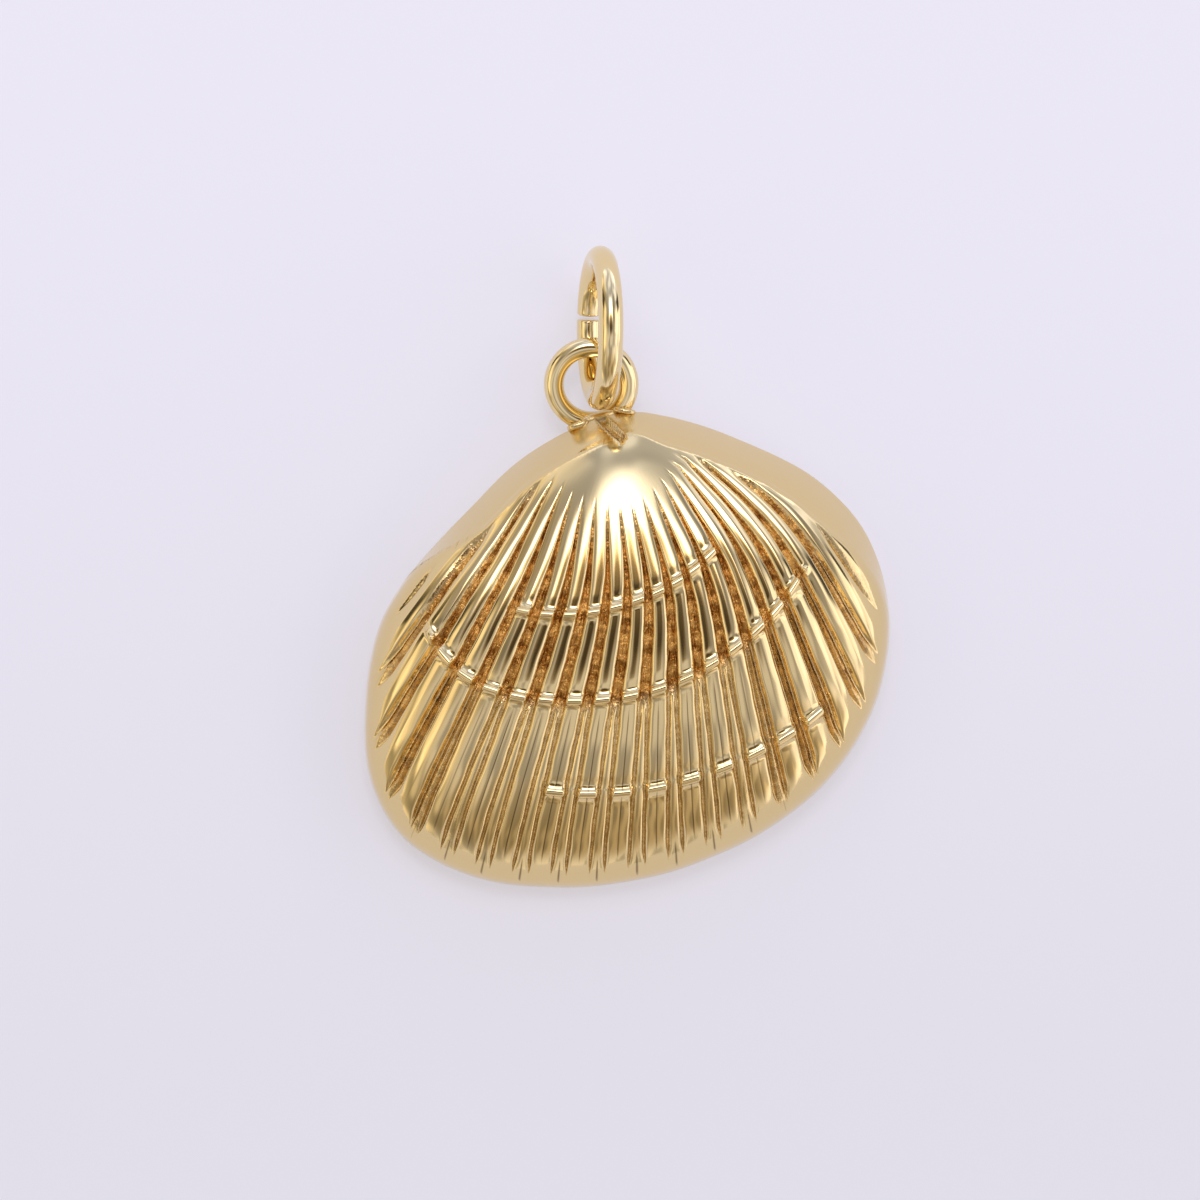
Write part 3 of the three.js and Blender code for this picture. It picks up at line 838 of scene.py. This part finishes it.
def charm_loop(material):
    """A closed loop of round wire, its far side tilted up."""
    around, across = LOOP_STEPS
    turn = full_turn(around)[:, None]
    section_turn = full_turn(across)[None, :]
    reach = LOOP_RADIUS + LOOP_WIRE / 2 * np.cos(section_turn)
    rise = LOOP_WIRE / 2 * np.sin(section_turn) + 0 * turn
    y, z = turned(reach * np.sin(turn), rise, LOOP_TILT)
    points = np.stack([reach * np.cos(turn), y, z], axis=-1) + np.array(LOOP)
    loops = loop_indices(around, across)
    return new_object("charm_loop", points.reshape(-1, 3), tube_faces([*loops, loops[0]]), material)


def squared(value):
    """A sine or cosine pushed outwards, for fuller corners."""
    return np.sign(value) * np.abs(value) ** LUMP_SQUARENESS


def lump(name, centre, radii, turn, material):
    """A small soft-cornered swelling of the casting, turned about Z."""
    rings, across = LUMP_STEPS
    down = np.linspace(0, math.pi, rings)[:, None]
    around = full_turn(across)[None, :]
    flat_x = radii[0] * squared(np.sin(down)) * squared(np.cos(around))
    flat_y = radii[1] * squared(np.sin(down)) * squared(np.sin(around))
    x, y = turned(flat_x, flat_y, turn)
    z = radii[2] * squared(np.cos(down)) + 0 * around
    vertices = (np.stack([x, y, z], axis=-1) + np.array(centre)).reshape(-1, 3)
    faces = tube_faces(loop_indices(rings, across))
    return new_object(name, vertices, faces, material, cast=np.full(len(vertices), LUMP_CAST))


def loop_feet(material):
    """The root of the loop: a web in the beak's wall and a ledge where each side of the wire leaves it."""
    return [
        lump("loop_web", (-1.0, 5.42, 0.9), (0.9, 0.3, 0.75), 14, material),
        lump("loop_foot_left", (-1.78, 5.2, 1.3), (0.45, 0.14, 0.45), 17, material),
        lump("loop_foot_right", (-0.12, 5.72, 1.35), (0.42, 0.12, 0.5), -10, material),
    ]


def ring_sections():
    """How far round from the slit each section of the wire is, and its radius, less at the cut ends."""
    sweep = 2 * math.pi - RING_SLIT / RING_RADIUS
    inset = CUT_ROUND / RING_RADIUS
    shoulder, loss = CUT_SHOULDER
    between = np.linspace(inset, sweep - inset, RING_STEPS[0])
    angles = np.concatenate([[0, inset * shoulder], between, [sweep - inset * shoulder, sweep]])
    radii = np.full(len(angles), RING_WIRE / 2)
    radii[[0, -1]] -= CUT_ROUND
    radii[[1, -2]] -= loss
    return angles, radii[:, None]


def jump_ring(material):
    """A round wire bent into a leaning ring, with its two cut ends just apart."""
    low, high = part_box("jump_ring")
    centre = (np.array(low) + np.array(high)) / 2 / MM
    angles, radii = ring_sections()
    slit_end = math.radians(RING_SLIT_ANGLE) + RING_SLIT / RING_RADIUS / 2
    angle = (slit_end + angles)[:, None]
    turn = full_turn(RING_STEPS[1])
    reach = RING_RADIUS + radii * np.sin(turn)
    x, z = turned(radii * np.cos(turn), -reach * np.cos(angle), -RING_LEAN)
    points = np.stack([x, reach * np.sin(angle), z], axis=-1) + centre
    loops = loop_indices(len(angles), len(turn))
    faces = [*tube_faces(loops), loops[0], loops[-1][::-1]]
    return new_object("gilt_jump_ring", points.reshape(-1, 3), faces, material)


# ---------------------------------------------------------------- materials

class Nodes:
    """A few shorthands for building a node tree."""

    def __init__(self, owner):
        owner.use_nodes = True
        self.tree = owner.node_tree
        self.tree.nodes.clear()

    def add(self, kind, inputs=(), **settings):
        node = self.tree.nodes.new(kind)
        for key, value in settings.items():
            setattr(node, key, value)
        for key, value in dict(inputs).items():
            self.feed(node.inputs[key], value)
        return node

    def feed(self, socket, value):
        if isinstance(value, bpy.types.NodeSocket):
            self.tree.links.new(value, socket)
        else:
            socket.default_value = value

    def math(self, operation, *values):
        node = self.add("ShaderNodeMath", operation=operation)
        for socket, value in zip(node.inputs, values):
            self.feed(socket, value)
        return node.outputs[0]

    def total(self, first, *others):
        for value in others:
            first = self.math("ADD", first, value)
        return first

    def product(self, first, *others):
        for value in others:
            first = self.math("MULTIPLY", first, value)
        return first

    def span(self, value, low, high, start=0.0, end=1.0):
        """A soft step from start at low to end at high."""
        node = self.add("ShaderNodeMapRange", interpolation_type="SMOOTHSTEP", inputs={
            "Value": value, "From Min": low, "From Max": high, "To Min": start, "To Max": end})
        return node.outputs["Result"]

    def within(self, value, rise, fall):
        """1 between two bands, with a soft step over each."""
        return self.product(self.span(value, *rise), self.span(value, *fall, 1.0, 0.0))

    def dimmed(self, value, share, darkness):
        return self.product(value, self.math("SUBTRACT", 1.0, self.product(share, darkness)))

    def mix(self, share, first, second):
        """One colour giving way to another."""
        node = self.add("ShaderNodeMix", data_type="RGBA", inputs={"Factor": share, 6: first, 7: second})
        return node.outputs[2]

    def noise(self, place, scale, detail, roughness):
        node = self.add("ShaderNodeTexNoise", inputs={
            "Vector": place, "Scale": scale, "Detail": detail, "Roughness": roughness})
        return node.outputs["Fac"]

    def attribute(self, label):
        return self.add("ShaderNodeAttribute", attribute_name=label).outputs["Fac"]

    def place(self):
        return self.add("ShaderNodeTexCoord").outputs["Object"]

    def finish(self, kind, surface_socket):
        self.add(kind, inputs={"Surface": surface_socket})

    def gilt_gloss(self, place, polish):
        """The polished metal's roughness, with a faint haze that at most doubles it."""
        return self.span(self.noise(place, *HAZE_NOISE), 0.3, 0.7, polish, 2 * polish)


def shell_gold(name):
    """Gold plate: bright where polished, brown and grainy where rough-cast, dull about the loop's root, with
    painted shade along the seams.
    """
    material = bpy.data.materials.new(name)
    nodes = Nodes(material)
    cast, seam, place = nodes.attribute("cast"), nodes.attribute("seam"), nodes.place()
    grain = nodes.noise(place, *GRAIN_NOISE)
    patches = nodes.noise(place, *PATCH_NOISE)

    cast_colour = nodes.mix(nodes.span(patches, 0.36, 0.62), CAST_DARK, CAST_PALE)
    colour = nodes.mix(cast, SHELL_TONE, cast_colour)
    # Painted shade: the seams are darkened towards a near-black brown.
    colour = nodes.mix(nodes.product(seam, SEAM_SHADE_SHARE), colour, SEAM_SHADE_TONE)

    on_floor = nodes.product(nodes.span(patches, 0.3, 0.7, *CAST_POLISH), cast)
    on_ribs = nodes.product(nodes.gilt_gloss(place, SHELL_POLISH), nodes.math("SUBTRACT", 1.0, cast))
    from_root = nodes.add("ShaderNodeVectorMath", operation="DISTANCE", inputs={0: place, 1: ROOT_PLACE})
    at_root = nodes.span(from_root.outputs["Value"], *ROOT_BAND, ROOT_POLISH, 0.0)
    roughness = nodes.math("MAXIMUM", nodes.total(on_floor, on_ribs), at_root)

    relief = nodes.product(nodes.total(grain, patches), cast)
    bumped = nodes.add("ShaderNodeBump", inputs={"Height": relief, "Strength": 1.0, "Distance": CAST_BUMP})
    shader = nodes.add("ShaderNodeBsdfPrincipled", inputs={
        "Base Color": colour, "Metallic": 1.0, "Roughness": roughness, "Normal": bumped.outputs["Normal"]})
    nodes.finish("ShaderNodeOutputMaterial", shader.outputs["BSDF"])
    return material


def wire_gold(name):
    """Gold plate on smooth wire: one colour, with a faint haze in its polish."""
    material = bpy.data.materials.new(name)
    nodes = Nodes(material)
    shader = nodes.add("ShaderNodeBsdfPrincipled", inputs={
        "Base Color": WIRE_TONE, "Metallic": 1.0, "Roughness": nodes.gilt_gloss(nodes.place(), WIRE_POLISH)})
    nodes.finish("ShaderNodeOutputMaterial", shader.outputs["BSDF"])
    return material


def floor_material():
    """Pale lavender, with painted shade darker towards the near edge, and glowing with painted light from
    within to keep the shadows soft.
    """
    material = bpy.data.materials.new("pale_floor_glow_and_shade")
    nodes = Nodes(material)
    along = nodes.add("ShaderNodeSeparateXYZ", inputs={"Vector": nodes.place()}).outputs["Y"]
    # Painted shade: darker towards the near edge, where the light falls off.
    colour = nodes.mix(nodes.span(along, *FLOOR_SHADE_BAND), FLOOR_NEAR_SHADED_GLOW, FLOOR_FAR_GLOW)
    # Painted light: the floor glows with its own colour.
    shader = nodes.add("ShaderNodeBsdfPrincipled", inputs={
        "Base Color": colour, "Roughness": 0.9, "Emission Color": colour, "Emission Strength": 1.0})
    nodes.finish("ShaderNodeOutputMaterial", shader.outputs["BSDF"])
    return material


# ---------------------------------------------------------------- studio

def softbox(nodes, x, y, z):
    """The softbox's light, brightest in its middle, and the share of the darker walls beside it."""
    tilt = math.radians(BOX_TILT)
    ahead = nodes.total(nodes.product(y, math.cos(tilt)), nodes.product(z, math.sin(tilt)))
    above = nodes.math("SUBTRACT", nodes.product(z, math.cos(tilt)), nodes.product(y, math.sin(tilt)))
    front = nodes.math("GREATER_THAN", ahead, BOX_NEAREST)
    safe = nodes.math("MAXIMUM", ahead, BOX_NEAREST)
    across = nodes.math("ABSOLUTE", nodes.math("DIVIDE", x, safe))
    up = nodes.math("ABSOLUTE", nodes.math("DIVIDE", above, safe))
    wide, tall = (nodes.span(value, 0.0, half, 1.0, 0.0) for value, half in zip((across, up), BOX_HALF))
    box = nodes.product(nodes.math("POWER", nodes.product(wide, tall), BOX_FADE), front, BOX_LIGHT)
    beside = nodes.within(across, *BESIDE_ACROSS)
    return box, nodes.product(beside, nodes.span(up, *BESIDE_UP, 1.0, 0.0), front)


def end_gaps(nodes, y, z):
    """The dark gap between each end of the softbox and the side wall."""
    level = nodes.math("MAXIMUM", nodes.math("SUBTRACT", 1.0, nodes.math("POWER", z, 2.0)), 0.0001)
    ahead = nodes.math("DIVIDE", y, nodes.math("SQRT", level))
    return nodes.product(nodes.within(ahead, *GAP_AHEAD), nodes.within(z, *GAP_Z))


def side_panels(nodes, x, y, z):
    """A pale panel on each side, above the horizon."""
    aside, along = nodes.math("ABSOLUTE", x), nodes.math("ABSOLUTE", y)
    panel = nodes.product(nodes.span(aside, *PANEL_X), nodes.within(z, *PANEL_Z))
    return nodes.product(panel, nodes.span(along, *PANEL_Y, 1.0, 0.0))


def studio_walls(nodes, toward, x, y, z):
    """Walls paler near the horizon, beyond the softbox and towards +X, and dimmer on the near side."""
    walls = nodes.total(
        nodes.span(z, *HORIZON_BAND, HORIZON_LIGHT, 0.0),
        nodes.span(x, *RIGHT_BAND, 0.0, RIGHT_LIGHT),
        nodes.span(y, *FAR_BAND, 0.0, FAR_LIGHT),
        nodes.span(y, *NEAR_BAND, NEAR_LIGHT, 0.0),
        WALL_LIGHT,
    )
    walls = nodes.product(walls, nodes.span(nodes.noise(toward, *ROOM_NOISE), 0.36, 0.64, *ROOM_RANGE))
    walls = nodes.dimmed(walls, end_gaps(nodes, y, z), GAP_DARKNESS)
    return nodes.total(walls, nodes.product(side_panels(nodes, x, y, z), PANEL_LIGHT))


def lens_distance(nodes, x, y, z):
    """Squared distance from the middle of the lens's reflection, in halves of its size."""
    aside = nodes.math("POWER", nodes.math("DIVIDE", x, LENS_HALF[0]), 2.0)
    along = nodes.math("POWER", nodes.math("DIVIDE", nodes.math("SUBTRACT", y, LENS_Y), LENS_HALF[1]), 2.0)
    return nodes.total(aside, along, nodes.product(nodes.math("LESS_THAN", z, 0.0), BELOW))


def studio_tint(nodes, x, y, z, lens):
    """Cool light from beyond the beak, warmer from the near side, from -X and from the lens's reflection."""
    away = nodes.math("MAXIMUM", nodes.span(y, -0.85, -0.45), nodes.span(z, 0.05, 0.35, 0.8, 0.0))
    tint = nodes.mix(away, NEAR_TINT, PLAIN_TINT)
    tint = nodes.mix(nodes.span(y, 0.3, 0.8), tint, FAR_TINT)
    tint = nodes.mix(nodes.span(x, -0.8, -0.3), LEFT_TINT, tint)
    return nodes.mix(nodes.span(lens, *LENS_BAND, 1.0, 0.0), tint, LENS_TINT)


def studio_world():
    """A soft studio: a bright softbox beyond the beak, grey nearer walls, and the dark lens overhead."""
    world = bpy.data.worlds.new("soft_studio")
    bpy.context.scene.world = world
    nodes = Nodes(world)
    toward = nodes.add("ShaderNodeTexCoord").outputs["Generated"]
    axes = nodes.add("ShaderNodeSeparateXYZ", inputs={"Vector": toward})
    x, y, z = (axes.outputs[index] for index in range(3))
    box, beside = softbox(nodes, x, y, z)
    walls = nodes.dimmed(studio_walls(nodes, toward, x, y, z), beside, BESIDE_DARKNESS)
    lens = lens_distance(nodes, x, y, z)
    light = nodes.product(nodes.total(walls, box), nodes.span(lens, *LENS_BAND, LENS_LIGHT, 1.0))
    tint = studio_tint(nodes, x, y, z, lens)
    background = nodes.add("ShaderNodeBackground", inputs={"Color": tint, "Strength": light})
    nodes.finish("ShaderNodeOutputWorld", background.outputs["Background"])


def studio_floor():
    bpy.ops.mesh.primitive_plane_add(size=FLOOR_SIZE, location=(0, 0, -FLOOR_DROP * MM))
    floor = bpy.context.object
    floor.name = "studio_floor"
    floor.data.materials.append(floor_material())


def camera():
    """Straight above, with the beak at the top of the frame."""
    data = bpy.data.cameras.new("camera")
    data.sensor_width = SENSOR_WIDTH
    data.lens = SENSOR_WIDTH * CAMERA_PLACE[2] / FRAME_WIDTH
    data.clip_start = 0.01
    data.clip_end = 5
    obj = bpy.data.objects.new("camera", data)
    obj.location = [MM * value for value in CAMERA_PLACE]
    bpy.context.scene.collection.objects.link(obj)
    bpy.context.scene.camera = obj


def main():
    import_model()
    shell_gilt = shell_gold("shell_gilt_polish")
    casting = charm_casting(shell_gilt)
    loop = charm_loop(wire_gold("loop_gilt_polish"))
    for piece in (casting, loop, *loop_feet(shell_gilt)):
        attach(piece, "charm")
    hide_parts("shell_charm")
    ring = jump_ring(wire_gold("ring_gilt_polish"))
    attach(ring, "ring")
    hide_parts("jump_ring")
    studio_world()
    studio_floor()
    camera()
    bpy.context.scene.view_settings.view_transform = "Standard"


main()
